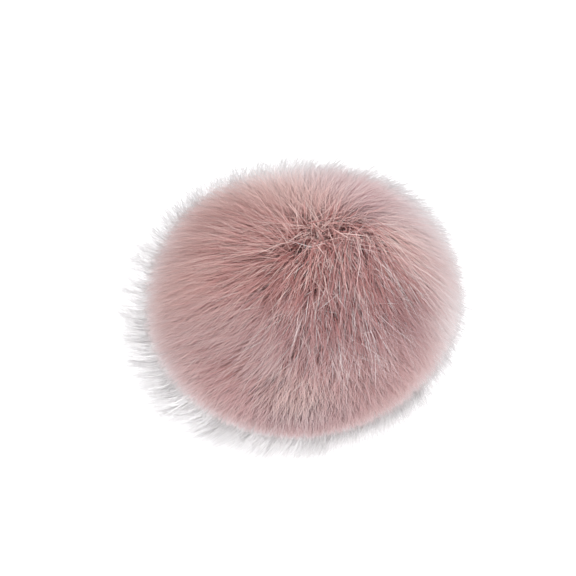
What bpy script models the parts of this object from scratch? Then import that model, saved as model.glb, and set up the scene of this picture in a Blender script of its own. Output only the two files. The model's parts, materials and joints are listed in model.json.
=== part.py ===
"""Fur pompom, 120 mm across, lying on a small flat spot.

A circle of fur fabric is gathered into a ball. Its long pile parts at a crown on
top and lies outwards and down in locks, and the lowest locks spread level on the
surface that the ball lies on. The backing ball and its locks are one solid.
Units are metres, +Z is up, and the origin is the centre of the flat spot.
"""

from math import asin, cos, exp, pi, radians, sin, sqrt

import bmesh
import bpy
import numpy as np
from mathutils import Matrix, Vector

# The fur's outer form, measured where the locks' tips end
FUR_WIDTH = 0.1225
DEPTH_SHARE = 0.94
FUR_HEIGHT_ABOVE_WAIST = 0.043
FUR_DEPTH_BELOW_WAIST = 0.046
WAIST_HEIGHT = 0.038
SHOULDER = 0.035
LEAN = 0.11

# The gathered fabric ball that the pile grows from
BACKING_WIDTH = 0.086
BACKING_HALF_HEIGHT = 0.031
FLAT_SPOT_RADIUS = 0.017
BACKING_SEGMENTS = 24
BACKING_RINGS = 12

# The locks of pile that cover the ball
STANDING_LOCKS = 276
LOCK_HALF_WIDTH = 0.004
ROOT_DEPTH = 0.003
LOWEST_ROOT_HEIGHT = 0.0078
COMB = radians(26)
COMB_RATE = 1.3
CROWN_SPREAD = radians(45)
SWIRL = radians(-6)
LIFT = 0.5
YAW_SPREAD = radians(3)
LENGTH_SPREAD = 0.08

# The fringe: round a tilted belt, low in front and high behind, locks stand past the rest
FRINGE_LONG = 0.009
FRINGE_SHORT = 0.0025
FRINGE_HEADING = radians(205)
FRINGE_BELT = radians(104)
FRINGE_TILT = radians(33)
FRINGE_BELT_WIDTH = radians(24)

# The short locks that the ball's weight presses level on the floor, round the flat spot
FLOOR_LOCKS = 24
FLOOR_LOCK_HALF_WIDTH = 0.0028
FLOOR_LOCK_ROOT_RADIUS = 0.019
FLOOR_LOCK_TIP_RADIUS = 0.035
FLOOR_CLEARANCE = 0.0001

# A lock is square in section, and stands on an edge of the square or lies on a flat side of it
ON_EDGE = 0.0
ON_FLAT_SIDE = pi / 4

# Each row is one section of a lock: how far along it lies, and its share of the full width
LOCK_SECTIONS = (
    {"along": 0.0, "width": 0.86},
    {"along": 0.42, "width": 1.0},
    {"along": 0.76, "width": 0.62},
    {"along": 1.0, "width": 0.0},
)

FUR_COLOUR = (0.50, 0.305, 0.29, 1.0)
FUR_ROUGHNESS = 0.85
GOLDEN_ANGLE = pi * (3 - sqrt(5))
WELD_DISTANCE = 0.00001
AREA_STEPS = 400
SEED = 7


def clear_scene():
    for leftover in list(bpy.data.objects):
        bpy.data.objects.remove(leftover, do_unlink=True)


def new_collection(name):
    collection = bpy.data.collections.new(name)
    bpy.context.scene.collection.children.link(collection)
    return collection


def fur_material():
    """Dusty pink pile, matt and soft."""
    material = bpy.data.materials.new("fur")
    material.use_nodes = True
    shader = material.node_tree.nodes["Principled BSDF"]
    shader.inputs["Base Color"].default_value = FUR_COLOUR
    shader.inputs["Roughness"].default_value = FUR_ROUGHNESS
    shader.inputs["Metallic"].default_value = 0.0
    return material


def settled(point):
    """The ball is an oval, and leans towards +X, a little more the higher it is above the floor."""
    return Vector((point.x + LEAN * point.z, point.y * DEPTH_SHARE, point.z))


def backing_centre_height():
    """The height that makes a flat cut at the floor leave a spot of the wanted radius."""
    tilt_of_edge = asin(FLAT_SPOT_RADIUS / (BACKING_WIDTH / 2))
    return BACKING_HALF_HEIGHT * cos(tilt_of_edge)


def shoulder_share(azimuth):
    """The two back quarters of the ball bulge a little."""
    return 1 + SHOULDER * max(0.0, sin(azimuth)) * sin(2 * azimuth) ** 2


def backing_point(polar, azimuth):
    radius = BACKING_WIDTH / 2 * sin(polar)
    height = backing_centre_height() + BACKING_HALF_HEIGHT * cos(polar)
    return Vector((radius * cos(azimuth), radius * sin(azimuth), height))


def backing_normal(polar, azimuth):
    outward = sin(polar) / (BACKING_WIDTH / 2)
    upward = cos(polar) / BACKING_HALF_HEIGHT
    normal = Vector((outward * cos(azimuth), outward * sin(azimuth), upward))
    return normal.normalized()


def fur_point(polar, azimuth):
    """A point on the form that the tips of the pile reach."""
    half_height = FUR_HEIGHT_ABOVE_WAIST if polar < pi / 2 else FUR_DEPTH_BELOW_WAIST
    radius = FUR_WIDTH / 2 * sin(polar) * shoulder_share(azimuth)
    height = WAIST_HEIGHT + half_height * cos(polar)
    return Vector((radius * cos(azimuth), radius * sin(azimuth), height))


def fringe_reach(polar, azimuth):
    """How far past the fur's form a lock's tip stands: furthest in the belt, at the heading."""
    near_heading = sqrt(0.5 + 0.5 * cos(azimuth - FRINGE_HEADING))
    in_belt = exp(-(((polar - FRINGE_BELT + FRINGE_TILT * sin(azimuth)) / FRINGE_BELT_WIDTH) ** 2))
    return (FRINGE_SHORT + (FRINGE_LONG - FRINGE_SHORT) * near_heading) * in_belt


def even_polar_angles(count):
    """Polar angles that give each lock an equal area of backing, from crown to lowest root."""
    drop = backing_centre_height() - LOWEST_ROOT_HEIGHT
    lowest = pi - np.arccos(drop / BACKING_HALF_HEIGHT)
    polar = np.linspace(0.0, lowest, AREA_STEPS)
    half_width = BACKING_WIDTH / 2
    slope = np.hypot(BACKING_HALF_HEIGHT * np.sin(polar), half_width * np.cos(polar))
    area = np.cumsum(half_width * np.sin(polar) * slope)
    wanted = (np.arange(count) + 0.5) / count * area[-1]
    return np.interp(wanted, area, polar)


def lock_centreline(polar, azimuth, yaw, length_share):
    """Root, bend and tip of one lock: it leaves the backing square on, then lies with the comb."""
    root = backing_point(polar, azimuth)
    normal = backing_normal(polar, azimuth)
    tip_polar = polar + COMB * sin(COMB_RATE * polar) * min(1.0, polar / CROWN_SPREAD)
    tip_azimuth = azimuth + SWIRL + yaw
    tip = fur_point(tip_polar, tip_azimuth)
    tip = root + (tip - root) * length_share
    outward = Vector((cos(tip_azimuth), sin(tip_azimuth), 0.0))
    tip += outward * fringe_reach(tip_polar, tip_azimuth)
    bend = root + normal * (tip - root).length * LIFT
    points = [root - normal * ROOT_DEPTH]
    for section in LOCK_SECTIONS[1:]:
        t = section["along"]
        points.append(root * (1 - t) ** 2 + bend * 2 * t * (1 - t) + tip * t**2)
    return points


def floor_lock_centreline(azimuth, length_share):
    """A short lock laid straight out along the floor. add_lock lifts it by its own thickness."""
    length = (FLOOR_LOCK_TIP_RADIUS - FLOOR_LOCK_ROOT_RADIUS) * length_share
    outward = Vector((cos(azimuth), sin(azimuth), 0.0))
    reaches = [FLOOR_LOCK_ROOT_RADIUS + length * section["along"] for section in LOCK_SECTIONS]
    return [outward * reach for reach in reaches]


def add_lock(curve, points, half_width, turn):
    """One lock is a run of points whose own radii taper it, with no point of it in the floor."""
    spline = curve.splines.new("POLY")
    spline.points.add(len(points) - 1)
    for spot, point, section in zip(spline.points, points, LOCK_SECTIONS):
        half_height = half_width * section["width"] * cos(turn)
        point.z = max(point.z, half_height + FLOOR_CLEARANCE)
        spot.co = (*settled(point), 1.0)
        spot.radius = half_width * section["width"]
        spot.tilt = turn


def build_locks(collection):
    """All locks as one curve with a four-sided bevel, turned into a mesh so that it can be joined."""
    random = np.random.default_rng(SEED)
    curve = bpy.data.curves.new("lock_curves", "CURVE")
    curve.dimensions = "3D"
    curve.twist_mode = "Z_UP"
    curve.bevel_depth = 1.0
    curve.bevel_resolution = 0
    curve.use_fill_caps = True
    for number, polar in enumerate(even_polar_angles(STANDING_LOCKS)):
        yaw = random.uniform(-YAW_SPREAD, YAW_SPREAD)
        length_share = 1 + random.uniform(-LENGTH_SPREAD, LENGTH_SPREAD)
        points = lock_centreline(float(polar), number * GOLDEN_ANGLE, yaw, length_share)
        add_lock(curve, points, LOCK_HALF_WIDTH, ON_EDGE)
    for number in range(FLOOR_LOCKS):
        length_share = 1 + random.uniform(-LENGTH_SPREAD, LENGTH_SPREAD)
        points = floor_lock_centreline(2 * pi * number / FLOOR_LOCKS, length_share)
        add_lock(curve, points, FLOOR_LOCK_HALF_WIDTH, ON_FLAT_SIDE)
    guide = bpy.data.objects.new("lock_guide", curve)
    collection.objects.link(guide)
    bpy.context.view_layer.update()
    graph = bpy.context.evaluated_depsgraph_get()
    mesh = bpy.data.meshes.new_from_object(guide.evaluated_get(graph))
    bpy.data.objects.remove(guide)
    shape = bmesh.new()
    shape.from_mesh(mesh)
    bmesh.ops.remove_doubles(shape, verts=shape.verts, dist=WELD_DISTANCE)
    bmesh.ops.recalc_face_normals(shape, faces=shape.faces)
    shape.to_mesh(mesh)
    shape.free()
    locks = bpy.data.objects.new("locks", mesh)
    locks.hide_render = True
    locks.display_type = "WIRE"
    collection.objects.link(locks)
    return locks


def build_backing(collection):
    """A flattened ball, cut level at the floor and settled."""
    shape = bmesh.new()
    bmesh.ops.create_uvsphere(
        shape, u_segments=BACKING_SEGMENTS, v_segments=BACKING_RINGS, radius=1.0
    )
    size = Matrix.Diagonal((BACKING_WIDTH / 2, BACKING_WIDTH / 2, BACKING_HALF_HEIGHT, 1))
    lift = Matrix.Translation((0, 0, backing_centre_height()))
    bmesh.ops.transform(shape, matrix=lift @ size, verts=shape.verts)
    cut = bmesh.ops.bisect_plane(
        shape,
        geom=shape.verts[:] + shape.edges[:] + shape.faces[:],
        dist=WELD_DISTANCE,
        plane_co=(0, 0, 0),
        plane_no=(0, 0, 1),
        clear_inner=True,
    )
    rim = [edge for edge in cut["geom_cut"] if isinstance(edge, bmesh.types.BMEdge)]
    bmesh.ops.contextual_create(shape, geom=rim)
    for vertex in shape.verts:
        vertex.co = settled(vertex.co)
    bmesh.ops.recalc_face_normals(shape, faces=shape.faces)
    mesh = bpy.data.meshes.new("fur_pile")
    shape.to_mesh(mesh)
    shape.free()
    backing = bpy.data.objects.new("fur_pile", mesh)
    collection.objects.link(backing)
    return backing


def main():
    clear_scene()
    part_collection = new_collection("fur_pompom")
    helper_collection = new_collection("helpers")
    fur_pile = build_backing(part_collection)
    fur_pile.data.materials.append(fur_material())
    join = fur_pile.modifiers.new("join_locks", "BOOLEAN")
    join.operation = "UNION"
    join.solver = "EXACT"
    join.use_self = True
    join.object = build_locks(helper_collection)


main()
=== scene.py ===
# %% [markdown]
# # A fur pompom
#
# The real thing is a round of long-pile fur fabric, gathered with a thread into a ball. All that
# shows is the pile: short dense underfur, longer hairs that hang together in locks, and a few
# pale guard hairs that stand past the rest. This lesson dresses a plain solid ball with that
# pile, one coat at a time, and each coat is a mesh of tapered three-sided hairs.

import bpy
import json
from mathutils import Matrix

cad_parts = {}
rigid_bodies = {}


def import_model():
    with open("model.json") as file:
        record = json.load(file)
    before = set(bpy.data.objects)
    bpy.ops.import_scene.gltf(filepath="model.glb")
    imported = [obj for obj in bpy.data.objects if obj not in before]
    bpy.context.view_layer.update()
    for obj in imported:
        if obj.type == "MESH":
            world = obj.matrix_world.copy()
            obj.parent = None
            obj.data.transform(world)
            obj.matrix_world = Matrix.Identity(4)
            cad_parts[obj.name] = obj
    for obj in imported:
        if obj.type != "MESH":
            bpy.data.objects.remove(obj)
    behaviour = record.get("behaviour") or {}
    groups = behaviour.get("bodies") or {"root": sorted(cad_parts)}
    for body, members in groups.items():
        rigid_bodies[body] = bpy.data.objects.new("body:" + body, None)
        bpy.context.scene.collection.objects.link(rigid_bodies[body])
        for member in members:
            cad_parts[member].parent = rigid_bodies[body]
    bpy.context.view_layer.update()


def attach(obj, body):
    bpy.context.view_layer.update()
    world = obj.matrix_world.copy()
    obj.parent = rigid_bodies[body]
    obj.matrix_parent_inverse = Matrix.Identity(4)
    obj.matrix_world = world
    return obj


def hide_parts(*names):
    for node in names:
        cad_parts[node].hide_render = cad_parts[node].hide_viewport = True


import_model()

import json
from math import asin, cos, pi, radians, sin

import bmesh
import bpy
import numpy as np
from mathutils import Vector
from mathutils.kdtree import KDTree

MM = 0.001


def in_mm(values):
    return [round(float(value) / MM, 1) for value in values]


# %% [markdown]
# ## Where the hairs start and how far they reach
#
# Two smooth forms steer everything. Roots sit on the backing ball, and tips end on the outer form
# of the fur. Both are written with the same two angles, polar from the crown and azimuth
# round it, so that a hair is one pair of angles at its root and another pair at its tip. The
# sizes repeat those of the solid, because the coats have to fill its space.

# %% The backing ball and the outer form of the fur
BACKING_RADIUS = 43 * MM
BACKING_HALF_HEIGHT = 31 * MM
FLAT_SPOT_RADIUS = 17 * MM
FUR_RADIUS = 61.25 * MM
FUR_ABOVE_WAIST = 43 * MM
FUR_BELOW_WAIST = 46 * MM
WAIST_HEIGHT = 38 * MM
SHOULDER = 0.035
DEPTH_SHARE = 0.94
LEAN = 0.11
BACKING_CENTRE = BACKING_HALF_HEIGHT * cos(asin(FLAT_SPOT_RADIUS / BACKING_RADIUS))


def stack(x, y, z):
    return np.stack(np.broadcast_arrays(x, y, z), axis=-1)


def settled(points):
    """Makes the round ball an oval that leans towards +X. Steps between points change alike."""
    out = points.copy()
    out[..., 0] += LEAN * points[..., 2]
    out[..., 1] *= DEPTH_SHARE
    return out


def backing_form(polar, azimuth):
    """Points of the backing ball, which is lower than it is wide."""
    radius = BACKING_RADIUS * np.sin(polar)
    height = BACKING_CENTRE + BACKING_HALF_HEIGHT * np.cos(polar)
    return stack(radius * np.cos(azimuth), radius * np.sin(azimuth), height)


def backing_normal(polar, azimuth):
    outward = np.sin(polar) / BACKING_RADIUS
    upward = np.cos(polar) / BACKING_HALF_HEIGHT
    normal = stack(outward * np.cos(azimuth), outward * np.sin(azimuth), upward)
    return normal / np.linalg.norm(normal, axis=-1, keepdims=True)


def fur_form(polar, azimuth):
    """The outer form of the fur, a little fuller at its two back corners than an oval."""
    half_height = np.where(polar < pi / 2, FUR_ABOVE_WAIST, FUR_BELOW_WAIST)
    shoulder = 1 + SHOULDER * np.maximum(0, np.sin(azimuth)) * np.sin(2 * azimuth) ** 2
    radius = FUR_RADIUS * np.sin(polar) * shoulder
    height = WAIST_HEIGHT + half_height * np.cos(polar)
    return stack(radius * np.cos(azimuth), radius * np.sin(azimuth), height)


def coat_form(polar, azimuth, level):
    """A point between the backing, level 0, and the outer form of the fur, level 1."""
    inner = backing_form(polar, azimuth)
    return inner + (fur_form(polar, azimuth) - inner) * level


print("fur without its fringe, width and height in mm:",
      in_mm((2 * FUR_RADIUS, WAIST_HEIGHT + FUR_ABOVE_WAIST)))

# %% [markdown]
# ## Even roots
#
# Fur fabric carries about as much pile on every square centimetre. Plain random angles would
# crowd the roots round the top, where the rings are small. So the area is added up from ring to
# ring, and each root takes a random share of it.

# %% Spread roots evenly over the backing
LOWEST_ROOT_POLAR = radians(158)
POLAR_STEPS = 600


def root_angles(random, count, lowest=LOWEST_ROOT_POLAR):
    """Polar and azimuth of roots that each have an equal share of the surface above lowest."""
    polar = np.linspace(0.0, lowest, POLAR_STEPS)
    slope = np.hypot(BACKING_HALF_HEIGHT * np.sin(polar), BACKING_RADIUS * np.cos(polar))
    area = np.cumsum(np.sin(polar) * slope)
    azimuth = random.uniform(0, 2 * pi, count)
    return np.interp(random.uniform(0, area[-1], count), area, polar), azimuth


print("roots reach", round(np.degrees(LOWEST_ROOT_POLAR)), "degrees down from the top")

# %% [markdown]
# ## Combing
#
# Long pile doesn't stand square on its backing. It parts at the crown and falls outwards, so each
# tip ends further down the ball than its root. A flat map of the ball, with the top in its middle,
# east to the right and north to the back, makes this simple. The comb moves each tip straight away
# from a short parting line and then turns that step a little, so that all the pile swirls one
# way. A few broad sweeps, as of a hand, add to it. Close to the parting a hair may stand up
# or stray across to the other side.
#
# A hair shows most near its tip, and that end may lie far from its root. seen_place works out
# where that is on the map, so that colours and ruffles land where they are meant to be seen.

# %% The parting
PARTING_EAST = radians(-5)
PARTING_NORTH = radians(9)
PARTING_HEADING = radians(6)
PARTING_LENGTH = radians(21)


def on_map(polar, azimuth):
    """East and north on the flat map, both in radians from the top."""
    return polar * np.cos(azimuth), polar * np.sin(azimuth)


def away_from_parting(east, north):
    """The distance of a place on the map from the parting line, and the heading away from it."""
    off_east, off_north = east - PARTING_EAST, north - PARTING_NORTH
    along = off_east * cos(PARTING_HEADING) + off_north * sin(PARTING_HEADING)
    along = np.clip(along, 0, PARTING_LENGTH)
    off_east = off_east - along * cos(PARTING_HEADING)
    off_north = off_north - along * sin(PARTING_HEADING)
    return np.hypot(off_east, off_north), np.arctan2(off_north, off_east)


top_distance, _ = away_from_parting(0.0, 0.0)
print("the parting passes the top at", round(np.degrees(top_distance)), "degrees")

# %% Broad sweeps of the hand
SWEEPS = (
    {"name": "right of the crown, swept right", "east": 20, "north": 21, "size": 12,
     "to_east": 18, "to_north": -7},
    {"name": "in front of that, swept down", "east": 18, "north": 3, "size": 10,
     "to_east": -2, "to_north": -11},
    {"name": "left of the crown, swept back", "east": -18, "north": 2, "size": 15,
     "to_east": -8, "to_north": 18},
    {"name": "left, swept left", "east": -45, "north": -30, "size": 24,
     "to_east": -13, "to_north": 8},
    {"name": "low on the left, swept left", "east": -33, "north": -55, "size": 22,
     "to_east": -8, "to_north": 4},
    {"name": "right, swept right", "east": 45, "north": -15, "size": 20,
     "to_east": 14, "to_north": 0},
    {"name": "low on the right, swept right", "east": 38, "north": -48, "size": 18,
     "to_east": 7, "to_north": 3},
    {"name": "front", "east": 0, "north": -60, "size": 26,
     "to_east": 0, "to_north": 4},
)


def nearness(spot, east, north):
    """1 in the middle of a round spot of the map, fading away past its size."""
    off = np.hypot(east - radians(spot["east"]), north - radians(spot["north"]))
    return np.exp(-(off / radians(spot["size"])) ** 2)


def swept(east, north):
    """How far the sweeps move a tip on the map."""
    to_east, to_north = np.zeros(len(east)), np.zeros(len(east))
    for sweep in SWEEPS:
        share = nearness(sweep, east, north)
        to_east += radians(sweep["to_east"]) * share
        to_north += radians(sweep["to_north"]) * share
    return to_east, to_north


print("sweeps:", len(SWEEPS))

# %% Comb tips away from the parting
COMB = radians(19)
COMB_REACH = radians(122)
SWIRL = radians(-8)
SWIRL_REACH = radians(120)
CROWN_SIZE = radians(15)
CROWN_STRAY = radians(7)
CROWN_UPRIGHT = 1.2
SEEN_SHARE = 0.75


def combed_tip(random, polar, azimuth, stray, comb=1.0):
    """Polar and azimuth of the tips of hairs whose roots have these angles."""
    east, north = on_map(polar, azimuth)
    distance, heading = away_from_parting(east, north)
    at_crown = np.exp(-(distance / CROWN_SIZE) ** 2)
    step = COMB * comb * np.exp(-(distance / COMB_REACH) ** 2)
    step = step * (1 - CROWN_UPRIGHT * at_crown * random.uniform(0, 1, len(polar)))
    heading = heading + SWIRL * np.exp(-(distance / SWIRL_REACH) ** 2)
    loose = stray + CROWN_STRAY * at_crown
    to_east, to_north = swept(east, north)
    east = east + step * np.cos(heading) + to_east + loose * random.normal(0, 1, len(polar))
    north = north + step * np.sin(heading) + to_north + loose * random.normal(0, 1, len(polar))
    return np.hypot(east, north), np.arctan2(north, east)


def seen_place(polar, azimuth):
    """The map place where a hair shows most, well on from its root towards its tip."""
    east, north = on_map(polar, azimuth)
    distance, heading = away_from_parting(east, north)
    step = SEEN_SHARE * COMB * np.exp(-(distance / COMB_REACH) ** 2)
    return east + step * np.cos(heading), north + step * np.sin(heading)


waist_shows = np.hypot(*seen_place(pi / 2, 0.0))
print("a hair of the waist shows", round(np.degrees(waist_shows)), "degrees from the top")

# %% [markdown]
# ## Locks
#
# Real pile is clumped twice, into fine strands and into broad locks. Each lock has a root and a
# tip of its own, and a hair's tip is pulled part of the way to the tip of the nearest lock. A
# k-d tree, which sorts points in space, finds that lock quickly.

# %% Make locks and find the nearest one
LOCK_SEED = 11
BROAD_LOCK_COUNT = 300
FINE_LOCK_COUNT = 4200
LOCK_TONE = 0.5


def search_tree(places):
    tree = KDTree(len(places))
    for number, place in enumerate(places):
        tree.insert(place, number)
    tree.balance()
    return tree


def nearest(tree, places):
    """For each place the number of the nearest one in the tree."""
    return np.array([tree.find(place)[1] for place in places])


def make_locks(random, count, stray, length_spread):
    """Locks with their own straying, length and tone, and a tree of their roots for searching."""
    polar, azimuth = root_angles(random, count)
    root = backing_form(polar, azimuth)
    tip = fur_form(*combed_tip(random, polar, azimuth, stray))
    tip = root + (tip - root) * random.normal(1, length_spread, count)[:, None]
    tone = random.uniform(-LOCK_TONE, LOCK_TONE, count)
    return {"tree": search_tree(root), "tip": tip, "tone": tone}


random = np.random.default_rng(LOCK_SEED)
broad_locks = make_locks(random, BROAD_LOCK_COUNT, stray=radians(3), length_spread=0.05)
fine_locks = make_locks(random, FINE_LOCK_COUNT, stray=radians(4), length_spread=0.08)
print("locks:", len(broad_locks["tone"]), "broad and", len(fine_locks["tone"]), "fine")

# %% [markdown]
# ## Where the pile is ruffled, dark or warm
#
# Most of the pile lies smooth. Round the parting and in front of it the pile has been ruffled:
# strands cling together, pale ones lie over dark gaps, and single hairs cross. The dye isn't
# even either: it is a warm rose behind and left of the crown and a cool mauve in front on the
# right. A table of round places on the map, in degrees, says where. Its tone column also paints
# light and shade: some places are painted paler where the lamps fall or to fill shade, and
# partings are painted darker as shade. Away from the ruffled places every disturbance shrinks
# to a calm share of its full size.

# %% Places on the map of the ball
PLACES = (
    {"name": "ruffle in front of the crown", "east": 14, "north": -26, "size": 27,
     "ruffle": 1.0, "tone": -0.34, "warmth": 0.1},
    {"name": "crown", "east": 4, "north": -6, "size": 9,
     "ruffle": 0.2, "tone": 0.32, "warmth": 0.9},
    {"name": "right behind the crown", "east": 18, "north": 10, "size": 9,
     "ruffle": -0.3, "tone": 0.5, "warmth": -0.3},
    {"name": "left of the ruffle", "east": -4, "north": -24, "size": 9,
     "ruffle": 0.2, "tone": -0.16, "warmth": 0.7},
    {"name": "middle of the front", "east": 8, "north": -50, "size": 18,
     "ruffle": 0.5, "tone": -0.21, "warmth": -0.2},
    # Painted light: the tone here is paler to fill the shade low in front.
    {"name": "low in front", "east": -3, "north": -84, "size": 20,
     "ruffle": 0.0, "tone": 0.46, "warmth": 0.9},
    {"name": "low rim", "east": 0, "north": -112, "size": 32,
     "ruffle": 0.0, "tone": -0.2, "warmth": -1.0},
    # Painted light: the tone here is paler where the lamp behind falls.
    {"name": "back", "east": -8, "north": 18, "size": 24,
     "ruffle": 0.0, "tone": 0.34, "warmth": 1.4},
    {"name": "rim at the back", "east": 16, "north": 48, "size": 22,
     "ruffle": 0.0, "tone": -0.36, "warmth": -1.1},
    {"name": "left at the back", "east": -50, "north": 28, "size": 26,
     "ruffle": 0.0, "tone": -0.14, "warmth": 0.5},
    {"name": "low on the left", "east": -38, "north": -62, "size": 20,
     "ruffle": 0.1, "tone": 0.0, "warmth": 0.2},
    {"name": "left", "east": -55, "north": -20, "size": 22,
     "ruffle": 0.0, "tone": 0.1, "warmth": 0.5},
    {"name": "grey patch on the right", "east": 36, "north": -36, "size": 14,
     "ruffle": 0.0, "tone": -0.5, "warmth": -0.5},
    # Painted shade: the tone here is darker in the parting.
    {"name": "dark parting on the left", "east": -31, "north": -67, "size": 4,
     "ruffle": 0.6, "tone": -0.5, "warmth": 0.3},
    # Painted shade: the tone here is darker in the parting.
    {"name": "dark parting in the ruffle", "east": 27, "north": -26, "size": 7,
     "ruffle": 0.4, "tone": -0.24, "warmth": 0.2},
    {"name": "rose patch left of the crown", "east": -25, "north": -12, "size": 20,
     "ruffle": 0.1, "tone": 0.05, "warmth": 1.4},
    {"name": "loose tufts, upper left", "east": -37, "north": -12, "size": 8,
     "ruffle": 0.3, "tone": 0.02, "warmth": 0.0},
    {"name": "loose tufts, left", "east": -31, "north": -32, "size": 9,
     "ruffle": 0.3, "tone": 0.02, "warmth": 0.0},
    {"name": "loose tufts, low on the left", "east": -48, "north": -46, "size": 10,
     "ruffle": 0.3, "tone": 0.05, "warmth": 0.0},
    # Painted light: the tone here is paler where the lamp on the right falls.
    {"name": "right of the crown", "east": 34, "north": 0, "size": 12,
     "ruffle": 0.0, "tone": 0.5, "warmth": 0.7},
    # Painted rim light: the tone here is paler at the right rim.
    {"name": "right rim", "east": 59, "north": -25, "size": 17,
     "ruffle": 0.0, "tone": 0.4, "warmth": 0.1},
)


def effect(column, east, north):
    """The sum of one column of the table at these places on the map."""
    total = np.zeros(len(east))
    for place in PLACES:
        total += place[column] * nearness(place, east, north)
    return total


print("places on the map:", len(PLACES))

# %% What is left of each disturbance where the pile is calm
CALM_SHARES = {
    "stray": 0.3, "comb": 0.85, "tone": 0.05, "tone_spread": 0.086,
    "length_spread": 0.35, "pull": 0.16, "width": 0.31,
}


def calmed(column, value, ruffle):
    """A full value where ruffle is 1, and its calm share where ruffle is 0."""
    return value * (CALM_SHARES[column] + (1 - CALM_SHARES[column]) * ruffle)


print("calm pile strays by this share of the full angle:", calmed("stray", 1.0, 0.0))

# %% [markdown]
# ## Painted rim light and the end of the dye
#
# The dyed tips are painted paler away from the middle of the front, along a smooth step. This is
# painted rim light: it stands in for the sheen towards the outline and the light of the lamp
# behind.
#
# The dye ends at a tilted line round the ball, low in front and higher at the back. Below that
# belt the pile is undyed and almost white. The line is ragged, because each hair that starts near
# it may fall to either side.

# %% Paint the rim light onto the tips
PAINTED_RIM_EAST = radians(0)
PAINTED_RIM_NORTH = radians(-45)
PAINTED_RIM_FROM = radians(48)
PAINTED_RIM_FULL = radians(105)
PAINTED_RIM_LIGHT = 0.36


def painted_rim_light(east, north):
    """Painted rim light: tips paler away from the middle of the front, up to a set amount."""
    off = np.hypot(east - PAINTED_RIM_EAST, north - PAINTED_RIM_NORTH)
    share = np.clip((off - PAINTED_RIM_FROM) / (PAINTED_RIM_FULL - PAINTED_RIM_FROM), 0, 1)
    return PAINTED_RIM_LIGHT * share * share * (3 - 2 * share)


print("bleaching at the back of the waist:", round(float(painted_rim_light(0.0, pi / 2)), 2))

# %% End the dye at a tilted belt
BELT_TILT = radians(33)
BELT_OFFSET = radians(1)
BELT_RAGGED = radians(8)


def belt_polar(azimuth):
    """The tilted line round the ball where the dye ends, low in front and higher at the back."""
    return pi / 2 - BELT_TILT * np.sin(azimuth) + BELT_OFFSET


def below_belt(random, polar, azimuth):
    return polar > belt_polar(azimuth) + random.normal(0, BELT_RAGGED, len(polar))


print("belt in front and at the back, degrees from the top:",
      [round(float(np.degrees(belt_polar(azimuth)))) for azimuth in (-pi / 2, pi / 2)])

# %% [markdown]
# ## One hair, made by Geometry Nodes
#
# A hair is a three-sided cone bent along a curve. Python decides where each hair grows and
# where it ends, and stores that on a cloud of loose points. The node tree puts a straight
# cone on each point, makes the copies real, and bends every copy with the numbers
# of its own point. Working this way keeps the tree small, and the cone's sides and sections are
# plain inputs of the modifier.

# %% Small helpers for building node trees
def feed(tree, socket, value):
    """Links a socket, or sets a plain value."""
    if isinstance(value, bpy.types.NodeSocket):
        tree.links.new(value, socket)
    else:
        socket.default_value = value


def add_node(tree, kind, settings=None, **inputs):
    """A node with its settings, and its inputs by name with _ for a space."""
    node = tree.nodes.new(kind)
    for name, value in (settings or {}).items():
        setattr(node, name, value)
    for name, value in inputs.items():
        feed(tree, node.inputs[name.replace("_", " ")], value)
    return node


def maths(tree, operation, *values, kind="ShaderNodeMath"):
    """The result of one operation on these values or sockets, in their order."""
    node = tree.nodes.new(kind)
    node.operation = operation
    for socket, value in zip(node.inputs, values):
        feed(tree, socket, value)
    return node.outputs[0]


def vector_maths(tree, operation, *vectors):
    return maths(tree, operation, *vectors, kind="ShaderNodeVectorMath")


def scaled(tree, vector, factor):
    result = vector_maths(tree, "SCALE", vector)
    feed(tree, result.node.inputs["Scale"], factor)
    return result


def stored(tree, name, data_type):
    settings = {"data_type": data_type}
    node = add_node(tree, "GeometryNodeInputNamedAttribute", settings, Name=name)
    return node.outputs["Attribute"]


def store(tree, geometry, name, value, data_type, domain="POINT"):
    settings = {"data_type": data_type, "domain": domain}
    node = add_node(
        tree, "GeometryNodeStoreNamedAttribute", settings, Geometry=geometry, Name=name)
    feed(tree, node.inputs["Value"], value)
    return node.outputs["Geometry"]


# %% The inputs of the hair tree
HAIR_INPUTS = (
    {"name": "Roots", "kind": "NodeSocketGeometry", "value": None},
    {"name": "Sides", "kind": "NodeSocketInt", "value": 3},
    {"name": "Sections", "kind": "NodeSocketInt", "value": 3},
    {"name": "Belly", "kind": "NodeSocketFloat", "value": 1.2},
    {"name": "Wave", "kind": "NodeSocketFloat", "value": 0.3 * MM},
    {"name": "Wave Angle", "kind": "NodeSocketFloat", "value": 4.0},
    {"name": "Seed", "kind": "NodeSocketInt", "value": 3},
    {"name": "Material", "kind": "NodeSocketMaterial", "value": None},
)
print("inputs:", ", ".join(row["name"] for row in HAIR_INPUTS))

# %% Copy a straight cone to every root
RANDOM_FLOAT_HIGHEST = 3
RANDOM_FLOAT_RESULT = 1


def straight_hairs(tree, given):
    """A straight unit cone on each root, made real, with its own shape kept as an attribute."""
    cone = add_node(
        tree, "GeometryNodeMeshCone", {"fill_type": "NGON"},
        Vertices=given["Sides"], Side_Segments=given["Sections"],
        Radius_Top=0.0, Radius_Bottom=1.0, Depth=1.0,
    )
    place = tree.nodes.new("GeometryNodeInputPosition").outputs[0]
    shape = store(tree, cone.outputs["Mesh"], "shape", place, "FLOAT_VECTOR")
    roots = store(tree, given["Roots"], "root", place, "FLOAT_VECTOR")
    phase = add_node(
        tree, "FunctionNodeRandomValue", {"data_type": "FLOAT"}, Seed=given["Seed"])
    phase.inputs[RANDOM_FLOAT_HIGHEST].default_value = 2 * pi
    roots = store(tree, roots, "phase", phase.outputs[RANDOM_FLOAT_RESULT], "FLOAT")
    copies = add_node(tree, "GeometryNodeInstanceOnPoints", Points=roots, Instance=shape)
    real = add_node(tree, "GeometryNodeRealizeInstances", Geometry=copies.outputs["Instances"])
    return real.outputs["Geometry"]


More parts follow.
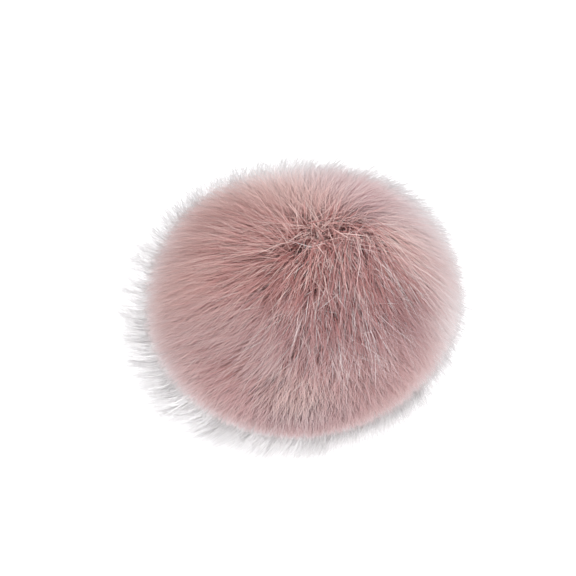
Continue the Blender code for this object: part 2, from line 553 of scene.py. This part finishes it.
# %% Bend every copy
def spine_and_heading(tree, along):
    """The curve 2t(1 - t) bend + t t reach, and the way it heads."""
    bend, reach = stored(tree, "bend", "FLOAT_VECTOR"), stored(tree, "reach", "FLOAT_VECTOR")
    rest = maths(tree, "SUBTRACT", 1.0, along)
    bend_share = maths(tree, "MULTIPLY", maths(tree, "MULTIPLY", along, rest), 2.0)
    reach_share = maths(tree, "MULTIPLY", along, along)
    bent, reached = scaled(tree, bend, bend_share), scaled(tree, reach, reach_share)
    turn = maths(tree, "MULTIPLY_ADD", along, -2.0, 1.0)
    heading = vector_maths(tree, "ADD", scaled(tree, bend, turn), scaled(tree, reach, along))
    return vector_maths(tree, "ADD", bent, reached), heading


def bent_position(tree, given, along, across):
    """The cone's section laid square to its hair's curve, which also sways a little."""
    side = stored(tree, "side", "FLOAT_VECTOR")
    spine, heading = spine_and_heading(tree, along)
    lift = vector_maths(tree, "NORMALIZE", vector_maths(tree, "CROSS_PRODUCT", heading, side))
    sideways, upwards = scaled(tree, side, across["X"]), scaled(tree, lift, across["Y"])
    section = vector_maths(tree, "ADD", sideways, upwards)
    belly = maths(tree, "MULTIPLY_ADD", along, given["Belly"], 1.0)
    width = maths(tree, "MULTIPLY", stored(tree, "width", "FLOAT"), belly)
    angle = maths(tree, "MULTIPLY", along, given["Wave Angle"])
    angle = maths(tree, "ADD", angle, stored(tree, "phase", "FLOAT"))
    wave = maths(tree, "MULTIPLY", along, given["Wave"])
    sway = maths(tree, "MULTIPLY", maths(tree, "SINE", angle), wave)
    place = vector_maths(tree, "ADD", stored(tree, "root", "FLOAT_VECTOR"), spine)
    place = vector_maths(tree, "ADD", place, scaled(tree, section, width))
    return vector_maths(tree, "ADD", place, scaled(tree, side, sway))


# %% [markdown]
# ## A place for every hair on the UV map
#
# An exported model carries its colours in a picture, and each face looks its colour up by UV. All
# hairs of one tone and one warmth look alike, so they may share a narrow column of that picture,
# with the root at the bottom and the tip at the top. The picture has four bands side by side, one
# for each step of warmth, and tone runs across each band.

# %% Lay out the UV map
BAKE_COLUMN = 0.003
BAKE_SLANT = 0.7
BAKE_MARGIN = 0.03
WARMTH_STEPS = 4


def bake_column(tree, along, across):
    """U from warmth and tone, V along the hair. The slant gives every face some area."""
    slant = maths(tree, "MULTIPLY_ADD", across["Y"], BAKE_SLANT, across["X"])
    inner = 1 - 2 * BAKE_MARGIN
    tone, warmth = stored(tree, "tone", "FLOAT"), stored(tree, "warmth", "FLOAT")
    u = maths(tree, "ADD", maths(tree, "MULTIPLY", tone, inner), BAKE_MARGIN)
    u = maths(tree, "ADD", u, maths(tree, "MULTIPLY", warmth, WARMTH_STEPS - 1))
    u = maths(tree, "DIVIDE", u, WARMTH_STEPS)
    u = maths(tree, "ADD", u, maths(tree, "MULTIPLY", slant, BAKE_COLUMN))
    v = maths(tree, "ADD", maths(tree, "MULTIPLY", along, inner), BAKE_MARGIN)
    v = maths(tree, "ADD", v, maths(tree, "MULTIPLY", across["Y"], BAKE_COLUMN))
    return add_node(tree, "ShaderNodeCombineXYZ", X=u, Y=v).outputs["Vector"]


print("bands of warmth on the UV map:", WARMTH_STEPS)


# %% Build the hair tree
def build_hair_tree():
    tree = bpy.data.node_groups.new("hairs_from_roots", "GeometryNodeTree")
    for row in HAIR_INPUTS:
        socket = tree.interface.new_socket(row["name"], in_out="INPUT", socket_type=row["kind"])
        if row["value"] is not None:
            socket.default_value = row["value"]
    tree.interface.new_socket("Hairs", in_out="OUTPUT", socket_type="NodeSocketGeometry")
    given = tree.nodes.new("NodeGroupInput").outputs
    hairs = straight_hairs(tree, given)
    shape = stored(tree, "shape", "FLOAT_VECTOR")
    across = add_node(tree, "ShaderNodeSeparateXYZ", Vector=shape).outputs
    along = across["Z"]
    hairs = store(tree, hairs, "along", along, "FLOAT")
    uv = bake_column(tree, along, across)
    hairs = store(tree, hairs, "OFBake", uv, "FLOAT2", "CORNER")
    place = bent_position(tree, given, along, across)
    moved = add_node(tree, "GeometryNodeSetPosition", Geometry=hairs, Position=place)
    smooth = add_node(tree, "GeometryNodeSetShadeSmooth", Geometry=moved.outputs["Geometry"])
    real = add_node(tree, "GeometryNodeRealizeInstances", Geometry=smooth.outputs["Geometry"])
    dressed = add_node(tree, "GeometryNodeSetMaterial", Geometry=real.outputs["Geometry"],
                       Material=given["Material"])
    result = tree.nodes.new("NodeGroupOutput")
    tree.links.new(dressed.outputs["Geometry"], result.inputs["Hairs"])
    return tree


hair_tree = build_hair_tree()
print("hair tree:", len(hair_tree.nodes), "nodes")

# %% [markdown]
# ## From points to a plain mesh
#
# A tree gives back a live result, but the later steps need a plain mesh. So a cloud of loose
# points carries each hair's numbers into the tree as named attributes, the tree runs once, and its
# result is kept as a mesh of its own. The attributes that only the tree needed are dropped.

# %% Points with attributes go in, a plain mesh comes out
ROOT_ATTRIBUTES = {"bend": "FLOAT_VECTOR", "reach": "FLOAT_VECTOR", "side": "FLOAT_VECTOR",
                   "width": "FLOAT", "tone": "FLOAT", "warmth": "FLOAT"}
WORKING_ATTRIBUTES = ("shape", "root", "phase", "bend", "reach", "side", "width")


def add_object(name, data):
    """A new object in the scene with this mesh, lamp or camera."""
    item = bpy.data.objects.new(name, data)
    bpy.context.scene.collection.objects.link(item)
    return item


def point_cloud(name, coat):
    """A mesh of loose points that carries a coat's numbers, one point for each hair."""
    mesh = bpy.data.meshes.new(name)
    mesh.vertices.add(len(coat["root"]))
    mesh.vertices.foreach_set("co", coat["root"].astype(np.float32).ravel())
    for attribute, kind in ROOT_ATTRIBUTES.items():
        data = mesh.attributes.new(attribute, kind, "POINT").data
        key = "vector" if kind == "FLOAT_VECTOR" else "value"
        data.foreach_set(key, coat[attribute].astype(np.float32).ravel())
    return add_object(name, mesh)


def set_inputs(modifier, values):
    """Sets a modifier's inputs by the identifier of each named socket."""
    for item in modifier.node_group.interface.items_tree:
        if item.item_type == "SOCKET" and item.in_out == "INPUT" and item.name in values:
            modifier[item.identifier] = values[item.name]


def grow(name, coat, material, **inputs):
    """Runs the hair tree on a coat's points and keeps the result as a plain mesh object."""
    cloud = point_cloud(name + "_roots", coat)
    modifier = cloud.modifiers.new("hairs", "NODES")
    modifier.node_group = hair_tree
    set_inputs(modifier, {"Material": material, **inputs})
    bpy.context.view_layer.update()
    evaluated = cloud.evaluated_get(bpy.context.evaluated_depsgraph_get())
    mesh = bpy.data.meshes.new_from_object(evaluated)
    mesh.name = name
    bpy.data.objects.remove(cloud)
    for attribute in WORKING_ATTRIBUTES:
        mesh.attributes.remove(mesh.attributes[attribute])
    piece = add_object(name, mesh)
    mesh.calc_loop_triangles()
    print(f"{name}: {len(coat['root'])} hairs, {len(mesh.loop_triangles)} triangles")
    return piece


# %% [markdown]
# ## The numbers of one coat
#
# A coat is a table with one row for each hair. make_coat fills it: it picks roots, combs them,
# pulls the tips into locks, adds each hair's own small error, gives the hair a tone and a warmth,
# and keeps everything above the floor. The tone runs from 0, deep mauve, to 1, pale, and the
# warmth from 0, mauve, to 1, rose. The finish reads both later.

# %% The attributes of hairs from root to tip
FLOOR_CLEARANCE = 0.5 * MM
FLOOR_SCATTER = 2 * MM
WIDTH_SPREAD = 0.3
SIDE_JITTER = 1e-4
SHORTEST = 1e-9


def unit(vectors):
    return vectors / np.maximum(np.linalg.norm(vectors, axis=-1, keepdims=True), SHORTEST)


def hair_rows(random, root, normal, tip, lift, width, tone, warmth):
    """The attributes of hairs that run from root to tip, kept above the floor."""
    count = len(root)
    root[:, 2] = np.maximum(root[:, 2], FLOOR_CLEARANCE)
    reach = tip - root
    bend = normal * np.linalg.norm(reach, axis=1, keepdims=True) * lift
    floor = FLOOR_CLEARANCE + random.uniform(0, FLOOR_SCATTER, count)
    reach[:, 2] = np.maximum(reach[:, 2], floor - root[:, 2])
    bend[:, 2] = np.maximum(bend[:, 2], floor - root[:, 2])
    side = unit(np.cross(reach, normal) + random.normal(0, SIDE_JITTER, (count, 3)))
    widths = width * random.uniform(1 - WIDTH_SPREAD, 1 + WIDTH_SPREAD, count)
    stepped = np.round(np.clip(warmth, 0, 1) * (WARMTH_STEPS - 1)) / (WARMTH_STEPS - 1)
    return {
        "root": settled(root), "bend": settled(bend), "reach": settled(reach), "side": side,
        "width": widths, "tone": np.clip(tone, 0, 1), "warmth": stepped,
    }


print("attributes of a hair:", ", ".join(ROOT_ATTRIBUTES))

# %% Pull, tone and warmth
EVEN_WARMTH = 0.3
WARMTH_SPREAD = 0.15
# The painted rim light also cools the colour by this share.
RIM_LIGHT_COOLING = 0.5
CALM_TONE = 0.5
BROAD_TONE = 0.36
FINE_TONE = 1.05


def gather(tip, root, locks, pull):
    """Pulls each tip part of the way to the tip of its lock."""
    index = nearest(locks["tree"], root)
    return tip + (locks["tip"][index] - tip) * np.clip(pull, 0, 1)[:, None], locks["tone"][index]


def coat_tone(random, place, ruffle, tone, tone_spread, broad_tone, fine_tone):
    """Even where the pile is calm, and mixed from lock to lock and hair to hair in a ruffle."""
    own = FINE_TONE * fine_tone + tone_spread * random.normal(0, 1, len(ruffle))
    mixed = CALM_TONE + calmed("tone", tone - CALM_TONE, ruffle)
    mixed = mixed + calmed("tone_spread", BROAD_TONE * broad_tone + own, ruffle)
    # The table's tone column and the painted rim light add painted light and shade here.
    return mixed + effect("tone", *place) + painted_rim_light(*place)


def dye_warmth(random, place):
    """Warmer or cooler by the table of places, and cooler under the painted rim light."""
    warmth = EVEN_WARMTH + effect("warmth", *place) - RIM_LIGHT_COOLING * painted_rim_light(*place)
    return warmth + random.normal(0, WARMTH_SPREAD, len(warmth))


print("warmth away from every place and from bleaching:", EVEN_WARMTH)

# %% Fill the table of one coat
ROOT_LEVEL = 0.28
BROAD_PULL = 0.42
LEAST_PULL = 0.4
UNDYED_WARMTH = 1 / 3


def make_coat(seed, count, width, length, length_spread, pull, stray, comb, tone, tone_spread,
              lift, lowest=LOWEST_ROOT_POLAR):
    """Rows for count hairs. Sizes are in metres, length and pull are shares, angles in radians."""
    random = np.random.default_rng(seed)
    polar, azimuth = root_angles(random, count, lowest=lowest)
    skin = backing_form(polar, azimuth)
    root = coat_form(polar, azimuth, ROOT_LEVEL)
    place = seen_place(polar, azimuth)
    ruffle = np.clip(effect("ruffle", *place), 0, 1)
    stray, comb = calmed("stray", stray, ruffle), calmed("comb", comb, ruffle)
    tip = fur_form(*combed_tip(random, polar, azimuth, stray, comb))
    tip, broad_tone = gather(tip, skin, broad_locks, calmed("pull", BROAD_PULL, ruffle))
    fine_pull = calmed("pull", random.uniform(LEAST_PULL, 1, count) * pull, ruffle)
    tip, fine_tone = gather(tip, skin, fine_locks, fine_pull)
    share = length * random.normal(1, calmed("length_spread", length_spread, ruffle))
    tip = skin + (tip - skin) * share[:, None]
    tones = coat_tone(random, place, ruffle, tone, tone_spread, broad_tone, fine_tone)
    warmth = dye_warmth(random, place)
    undyed = below_belt(random, polar, azimuth)
    warmth[undyed] = UNDYED_WARMTH
    widths = calmed("width", width, ruffle)
    normal = backing_normal(polar, azimuth)
    return hair_rows(random, root, normal, tip, lift, widths, tones, warmth), undyed


print("hairs of a coat start at level", ROOT_LEVEL, "between the backing and the outer form")

# %% [markdown]
# ## The finish
#
# Dyed fur is darker and redder near the skin and paler towards its tips: partly the fibre's own
# colour, and partly painted shade deep in the pile and a painted sheen at the tips. Three
# attributes drive the colour: along, from 0 at the root to 1 at the tip, and tone and warmth,
# which differ from hair to hair. Three colour ramps give a dark hair, a rose hair and a pale
# hair, tone mixes them, and warmth turns the result from mauve towards rose. Rough, faintly
# sheened fibres do the rest. The undyed fur has three ramps of its own.

# %% Helpers for materials
MIX_FACTOR, MIX_FIRST, MIX_SECOND, MIX_RESULT = 0, 6, 7, 2


def new_material(name, finish):
    """A material, its node tree and its shader, with these values on the shader's sockets."""
    material = bpy.data.materials.new(name)
    material.use_nodes = True
    shader = material.node_tree.nodes["Principled BSDF"]
    for socket, value in finish.items():
        shader.inputs[socket].default_value = value
    return material, material.node_tree, shader


def ramp(tree, factor, rows):
    node = add_node(tree, "ShaderNodeValToRGB", Fac=factor)
    stops = node.color_ramp.elements
    while len(stops) < len(rows):
        stops.new(0.5)
    for stop, row in zip(stops, rows):
        stop.position = row["along"]
        stop.color = (*row["colour"], 1)
    return node.outputs["Color"]


def mixed_colour(tree, factor, first, second, blend="MIX"):
    mix = add_node(tree, "ShaderNodeMix", {"data_type": "RGBA", "blend_type": blend})
    feed(tree, mix.inputs[MIX_FACTOR], factor)
    feed(tree, mix.inputs[MIX_FIRST], first)
    feed(tree, mix.inputs[MIX_SECOND], second)
    return mix.outputs[MIX_RESULT]


def hair_attribute(tree, name):
    return add_node(tree, "ShaderNodeAttribute", {"attribute_name": name}).outputs["Fac"]


# %% The fur material
# Each ramp darkens towards the root and pales towards the tip. Besides the fibre's own colour this
# is painted light: painted shade in the dark roots deep in the pile, and a painted sheen in the
# pale tips.
DARK_HAIR = (
    {"along": 0.0, "colour": (0.07, 0.024, 0.025)},
    {"along": 0.45, "colour": (0.24, 0.092, 0.09)},
    {"along": 0.8, "colour": (0.36, 0.165, 0.16)},
    {"along": 1.0, "colour": (0.45, 0.245, 0.24)},
)
ROSE_HAIR = (
    {"along": 0.0, "colour": (0.14, 0.055, 0.055)},
    {"along": 0.45, "colour": (0.45, 0.24, 0.235)},
    {"along": 0.8, "colour": (0.55, 0.34, 0.33)},
    {"along": 1.0, "colour": (0.62, 0.465, 0.455)},
)
PALE_HAIR = (
    {"along": 0.0, "colour": (0.22, 0.12, 0.12)},
    {"along": 0.45, "colour": (0.55, 0.42, 0.41)},
    {"along": 0.8, "colour": (0.73, 0.645, 0.635)},
    {"along": 1.0, "colour": (0.81, 0.74, 0.73)},
)
COOL_DYE = (0.95, 1.05, 1.09, 1)
WARM_DYE = (1.04, 0.9, 0.86, 1)
FUR_FINISH = {
    "Roughness": 0.6, "Specular IOR Level": 0.35, "Sheen Weight": 0.12, "Sheen Roughness": 0.5,
}


def fur_material(name, ramps):
    """Tone 0 is the first ramp, 0.5 the second and 1 the third."""
    material, tree, shader = new_material(name, FUR_FINISH)
    along, tone, warmth = (hair_attribute(tree, key) for key in ("along", "tone", "warmth"))
    doubled = maths(tree, "MULTIPLY", tone, 2.0)
    low, middle, high = (ramp(tree, along, rows) for rows in ramps)
    lower_half = mixed_colour(tree, doubled, low, middle)
    colour = mixed_colour(tree, maths(tree, "SUBTRACT", doubled, 1.0), lower_half, high)
    dye = mixed_colour(tree, warmth, COOL_DYE, WARM_DYE)
    dyed = mixed_colour(tree, 1.0, colour, dye, blend="MULTIPLY")
    tree.links.new(dyed, shader.inputs["Base Color"])
    return material


fur = fur_material("fur_hair", (DARK_HAIR, ROSE_HAIR, PALE_HAIR))
print("material:", fur.name, "with", len(fur.node_tree.nodes), "nodes")

# %% The undyed fur material
# The first two ramps are paler at the root than further out: painted light where the ball shades
# the base of the fringe. Tone 0, the grey ramp, is painted shade, which wisp_tone puts where the
# lamps light the fringe most.
SHADED_WHITE = (
    {"along": 0.0, "colour": (0.74, 0.705, 0.70)},
    {"along": 0.5, "colour": (0.59, 0.56, 0.56)},
    {"along": 1.0, "colour": (0.62, 0.59, 0.59)},
)
MIDDLE_WHITE = (
    {"along": 0.0, "colour": (0.92, 0.885, 0.88)},
    {"along": 0.5, "colour": (0.83, 0.795, 0.79)},
    {"along": 1.0, "colour": (0.84, 0.805, 0.80)},
)
PALE_WHITE = (
    {"along": 0.0, "colour": (0.98, 0.945, 0.94)},
    {"along": 0.5, "colour": (0.98, 0.945, 0.94)},
    {"along": 1.0, "colour": (0.98, 0.945, 0.94)},
)
undyed_fur = fur_material("fur_undyed_hair", (SHADED_WHITE, MIDDLE_WHITE, PALE_WHITE))
print("material:", undyed_fur.name, "with", len(undyed_fur.node_tree.nodes), "nodes")

# %% [markdown]
# ## The underbody
#
# Deep between the locks the eye meets no backing but a felt of dense underfur. It is one closed
# lumpy ball a little larger than the backing, flat where it rests, with fine fibre-like streaks
# raised in its finish. Its dark colour is partly that of the underfur and partly painted shade
# for the depths of the pile.

# %% Shape the underbody
UNDERBODY_LEVEL = 0.33
UNDERBODY_SEGMENTS = 120
UNDERBODY_RINGS = 60
FLOOR_GAP = 0.1 * MM
LUMP = 0.06
LUMP_WAVES = ((23, 0, 5), (-7, 19, 0), (0, 9, 21))


def build_underbody(material):
    shape = bmesh.new()
    bmesh.ops.create_uvsphere(
        shape, u_segments=UNDERBODY_SEGMENTS, v_segments=UNDERBODY_RINGS, radius=1)
    unit_ball = np.array([vertex.co for vertex in shape.verts])
    x, y, z = unit_ball.T
    polar, azimuth = np.arccos(np.clip(z, -1, 1)), np.arctan2(y, x)
    lump = LUMP * sum(np.sin(a * x + b * y + c * z) for a, b, c in LUMP_WAVES)
    points = coat_form(polar, azimuth, (UNDERBODY_LEVEL + lump)[:, None])
    points[:, 2] = np.maximum(points[:, 2], FLOOR_GAP)
    for vertex, point in zip(shape.verts, settled(points)):
        vertex.co = point
    mesh = bpy.data.meshes.new("fur_underbody")
    shape.to_mesh(mesh)
    shape.free()
    mesh.shade_smooth()
    mesh.materials.append(material)
    return add_object("fur_underbody", mesh)


# %% Finish the underbody
FELT_ROUGHNESS = 0.9
FELT_FIBRES = {"Scale": 900.0, "Detail": 4.0, "Distortion": 1.5}
FELT_RELIEF = {"Strength": 0.6, "Distance": 0.4 * MM}
# Dark felt colours: partly the underfur's own, partly painted shade for the depths of the pile.
FELT_AND_DEPTH_SHADE_COLOURS = (
    {"along": 0.3, "colour": (0.06, 0.025, 0.026)},
    {"along": 0.7, "colour": (0.20, 0.10, 0.10)},
)


def underbody_material():
    material, tree, shader = new_material("fur_felt_painted_shade", {"Roughness": FELT_ROUGHNESS})
    place = tree.nodes.new("ShaderNodeTexCoord").outputs["Object"]
    fibres = add_node(tree, "ShaderNodeTexNoise", Vector=place, **FELT_FIBRES).outputs["Fac"]
    tree.links.new(ramp(tree, fibres, FELT_AND_DEPTH_SHADE_COLOURS), shader.inputs["Base Color"])
    bump = add_node(tree, "ShaderNodeBump", Height=fibres, **FELT_RELIEF)
    tree.links.new(bump.outputs["Normal"], shader.inputs["Normal"])
    return material


underbody = build_underbody(underbody_material())
pieces = [underbody]
print("underbody:", len(underbody.data.polygons), "faces")

# %% [markdown]
# ## The coats
#
# Each coat is one mesh object, small enough to handle. From the inside out they are: short wide
# underfur, three coats of combed pile, pale guard hairs that cross the others, and a few loose
# hairs that lie across the crown. Each coat is cut in two at the belt, where the dye ends.

# %% Grow every coat
COATS = (
    {"name": "fur_underfur", "seed": 21, "count": 6000, "width": 0.3 * MM, "length": 0.80,
     "length_spread": 0.08, "pull": 0.3, "stray": radians(6), "comb": 1.0,
     "tone": 0.2, "tone_spread": 0.18, "lift": 0.6,
     "sections": 2, "belly": 1.2, "wave": 0.3 * MM},
    {"name": "fur_pile_inner", "seed": 22, "count": 11000, "width": 0.24 * MM, "length": 0.91,
     "length_spread": 0.08, "pull": 0.85, "stray": radians(6), "comb": 1.0,
     "tone": 0.05, "tone_spread": 0.24, "lift": 0.6,
     "sections": 2, "belly": 1.2, "wave": 0.3 * MM},
    {"name": "fur_pile_middle", "seed": 23, "count": 19500, "width": 0.25 * MM, "length": 0.96,
     "length_spread": 0.12, "pull": 0.9, "stray": radians(9), "comb": 1.1,
     "tone": 0.25, "tone_spread": 0.3, "lift": 0.6,
     "sections": 2, "belly": 1.2, "wave": 0.3 * MM},
    {"name": "fur_pile_outer", "seed": 24, "count": 19500, "width": 0.25 * MM, "length": 0.99,
     "length_spread": 0.13, "pull": 0.9, "stray": radians(13), "comb": 1.3,
     "tone": 0.55, "tone_spread": 0.42, "lift": 0.5,
     "sections": 2, "belly": 1.2, "wave": 0.25 * MM},
    {"name": "fur_guard_hairs", "seed": 25, "count": 11500, "width": 0.19 * MM, "length": 1.01,
     "length_spread": 0.09, "pull": 0.2, "stray": radians(22), "comb": 1.9,
     "tone": 0.8, "tone_spread": 0.54, "lift": 0.45,
     "sections": 3, "belly": 2.0, "wave": 0.15 * MM},
    {"name": "fur_crown_hairs", "seed": 26, "count": 3000, "width": 0.15 * MM, "length": 1.05,
     "length_spread": 0.06, "pull": 0.0, "stray": radians(24), "comb": 1.5,
     "tone": 1.1, "tone_spread": 0.3, "lift": 0.3, "lowest": radians(55),
     "sections": 3, "belly": 2.0, "wave": 0.1 * MM},
)
FORM_COLUMNS = ("name", "sections", "belly", "wave")


def chosen(rows, mask):
    """The rows of the hairs that the mask picks."""
    return {key: values[mask] for key, values in rows.items()}


for row in COATS:
    settings = {key: value for key, value in row.items() if key not in FORM_COLUMNS}
    rows, undyed = make_coat(**settings)
    form = {"Sections": row["sections"], "Belly": row["belly"], "Wave": row["wave"]}
    pieces.append(grow(row["name"], chosen(rows, ~undyed), fur, **form))
    if undyed.any():
        name = row["name"] + "_undyed"
        pieces.append(grow(name, chosen(rows, undyed), undyed_fur, **form))

# %% [markdown]
# ## Wisps
#
# Beyond the dyed pile stand the ends of the longest undyed hairs: a soft whitish fringe. It is
# long and tufted on the left, and shorter and looser the further round the ball it grows. It is
# thickest just under the belt and thins out below it. Each wisp starts inside the pile, so the
# dyed pile hides all but its end. In front the fringe reaches the floor and lies along it.

# %% Where the wisps start
WISP_HEADING = radians(200)
WISP_CROWDING = 0.35
BELT_WIDTH = radians(46)
BELT_CROWDING = 2


def belt_angles(random, count):
    """Roots below the belt, crowded up against it and towards WISP_HEADING."""
    azimuth = random.vonmises(WISP_HEADING, WISP_CROWDING, count)
    polar = belt_polar(azimuth)
    width = np.minimum(BELT_WIDTH, LOWEST_ROOT_POLAR - polar)
    return polar + width * random.uniform(0, 1, count) ** BELT_CROWDING, azimuth


def facing(azimuth, heading):
    """From 1 at the heading down to 0 on the far side."""
    return 0.5 + 0.5 * np.cos(azimuth - heading)


print("wisps are longest at", round(np.degrees(WISP_HEADING)), "degrees round from the right")

# %% How far the wisps reach, and how pale they are
WISP_SHORT = 7.5 * MM
WISP_LONG = 15 * MM
WISP_EVENNESS = 0.4
WISP_SPREAD = 0.35
WISP_EXTREMES = (0.3, 1.25)
WISP_STEP = radians(5)
WISP_TURN = radians(-8)
WISP_DROOP = 0.15
BELT_TAPER = 0.6
SHADED_HEADING = radians(250)
SHADED_TONE = 0.76
LIT_TONE = 0.18
WISP_TONE_SPREAD = 0.1


def wisp_tone(random, azimuth):
    """Paler on the shaded side, so that the fringe looks alike all round."""
    even = LIT_TONE + (SHADED_TONE - LIT_TONE) * facing(azimuth, SHADED_HEADING)
    return even + random.normal(0, WISP_TONE_SPREAD, len(azimuth))


def wisp_tips(random, polar, azimuth, stray, full):
    """Points outside the fur's outer form: furthest at WISP_HEADING, nearest on the far side."""
    count = len(polar)
    share = facing(azimuth, WISP_HEADING) ** WISP_EVENNESS
    uneven = np.clip(random.normal(1, WISP_SPREAD, count), *WISP_EXTREMES)
    below = (polar - belt_polar(azimuth)) / BELT_WIDTH
    length = WISP_SHORT + (WISP_LONG - WISP_SHORT) * share
    reach = length * full * uneven * (1 - BELT_TAPER * below)
    heading = azimuth + WISP_TURN + random.normal(0, stray, count)
    outward = stack(np.cos(heading), np.sin(heading), -WISP_DROOP)
    return fur_form(polar + WISP_STEP, heading) + outward * reach[:, None]


print("wisps stand out by, in mm:", in_mm((WISP_SHORT, WISP_LONG)))

# %% Fill the table of the wisps and grow them
WISP_SEED = 31
WISP_COUNT = 18500
WISP_STRAY = radians(5)
WISP_FULL = 0.8
WISP_LEAST_PULL = 0.2
WISP_PULL = 0.9
WISP_ROOT_LEVEL = 0.5
WISP_WIDTH = 0.13 * MM
WISP_LIFT = 0.3
TUFT_COUNT = 1100
TUFT_STRAY = radians(3)
TUFT_TONE_SPREAD = 0.2


def make_wisps(seed):
    random = np.random.default_rng(seed)
    polar, azimuth = belt_angles(random, TUFT_COUNT)
    tuft_tip = wisp_tips(random, polar, azimuth, stray=TUFT_STRAY, full=1.0)
    tufts = search_tree(backing_form(polar, azimuth))
    polar, azimuth = belt_angles(random, WISP_COUNT)
    tip = wisp_tips(random, polar, azimuth, stray=WISP_STRAY, full=WISP_FULL)
    index = nearest(tufts, backing_form(polar, azimuth))
    pull = random.uniform(WISP_LEAST_PULL, WISP_PULL, WISP_COUNT) * facing(azimuth, WISP_HEADING)
    tip = tip + (tuft_tip[index] - tip) * pull[:, None]
    root = coat_form(polar, azimuth, WISP_ROOT_LEVEL)
    tuft_tone = random.normal(0, TUFT_TONE_SPREAD, TUFT_COUNT)
    tone = wisp_tone(random, azimuth) + tuft_tone[index]
    warmth = np.full(WISP_COUNT, UNDYED_WARMTH)
    normal = backing_normal(polar, azimuth)
    return hair_rows(random, root, normal, tip, WISP_LIFT, WISP_WIDTH, tone, warmth)


pieces.append(grow("fur_wisps", make_wisps(WISP_SEED), undyed_fur, Sections=2, Belly=1.0))

# %% [markdown]
# ## Join the pieces to the part
#
# Every piece moves with the one body of the part and stands in for the plain solid, which is
# hidden.

# %% Attach each piece and hide the solid
for piece in pieces:
    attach(piece, "root")
    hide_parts("fur_pile")
print("pieces on the root:", len(pieces))

# %% [markdown]
# ## Floor, light and camera
#
# A pale floor runs past the view on all sides and glows a little, so that it stays white. A
# bright even sky lights the fur from all round. One large soft lamp, high on the right and behind,
# makes the right rim the palest, and a second one low in front fills in the shade.

# %% Floor
FLOOR_SIZE = 6.0
FLOOR_FINISH = {
    "Base Color": (0.92, 0.92, 0.93, 1), "Roughness": 0.9,
    "Emission Color": (1, 1, 1, 1), "Emission Strength": 0.25,
}


def build_floor():
    bpy.ops.mesh.primitive_plane_add(size=FLOOR_SIZE)
    floor = bpy.context.object
    floor.name = "floor"
    floor.data.materials.append(new_material("pale_floor", FLOOR_FINISH)[0])


build_floor()
print("floor size in m:", FLOOR_SIZE)

# %% Light
SKY_COLOUR = (1.0, 1.0, 1.0, 1)
SKY_STRENGTH = 1.8
# Places and sizes are in metres, power is in watts.
LAMPS = (
    {"name": "key_light", "place": (0.35, 0.35, 0.8), "target": (0, 0, 0.04), "size": 0.6,
     "power": 2.5},
    {"name": "front_light", "place": (-0.1, -0.9, 0.35), "target": (0, 0, 0.02), "size": 0.8,
     "power": 4.0},
)


def add_area_light(name, place, target, size, power):
    data = bpy.data.lights.new(name, "AREA")
    data.size = size
    data.energy = power
    lamp = add_object(name, data)
    lamp.location = place
    lamp.rotation_euler = (Vector(target) - Vector(place)).to_track_quat("-Z", "Y").to_euler()


def set_sky():
    world = bpy.data.worlds.new("soft_sky")
    world.use_nodes = True
    background = world.node_tree.nodes["Background"]
    background.inputs["Color"].default_value = SKY_COLOUR
    background.inputs["Strength"].default_value = SKY_STRENGTH
    bpy.context.scene.world = world


set_sky()
for lamp_row in LAMPS:
    add_area_light(**lamp_row)
bpy.context.scene.view_settings.view_transform = "Standard"
print("lamps:", ", ".join(lamp_row["name"] for lamp_row in LAMPS))

# %% Camera
FRAME_PIXELS = 576
BALL_CENTRE_PIXEL = (303, 294)
METRES_PER_PIXEL = 0.377 * MM
CAMERA_ELEVATION = radians(50)
CAMERA_LENS_MM = 100
SENSOR_MM = 36
BALL_MIDDLE_HEIGHT = 40 * MM
BALL_CENTRE = Vector((LEAN * BALL_MIDDLE_HEIGHT, 0, BALL_MIDDLE_HEIGHT))


def build_camera():
    """Aims a little past the ball's centre, so that the centre lands on its own pixel."""
    data = bpy.data.cameras.new("camera")
    data.lens = CAMERA_LENS_MM
    data.sensor_width = SENSOR_MM
    distance = METRES_PER_PIXEL * FRAME_PIXELS * CAMERA_LENS_MM / SENSOR_MM
    back = Vector((0, -np.cos(CAMERA_ELEVATION), np.sin(CAMERA_ELEVATION)))
    up = Vector((0, np.sin(CAMERA_ELEVATION), np.cos(CAMERA_ELEVATION)))
    right = Vector((1, 0, 0))
    off_x = (BALL_CENTRE_PIXEL[0] - FRAME_PIXELS / 2) * METRES_PER_PIXEL
    off_y = (FRAME_PIXELS / 2 - BALL_CENTRE_PIXEL[1]) * METRES_PER_PIXEL
    target = BALL_CENTRE - right * off_x - up * off_y
    camera = add_object("camera", data)
    camera.location = target + back * distance
    camera.rotation_euler = (-back).to_track_quat("-Z", "Y").to_euler()
    bpy.context.scene.camera = camera
    return distance


print("camera distance in mm:", in_mm([build_camera()]))
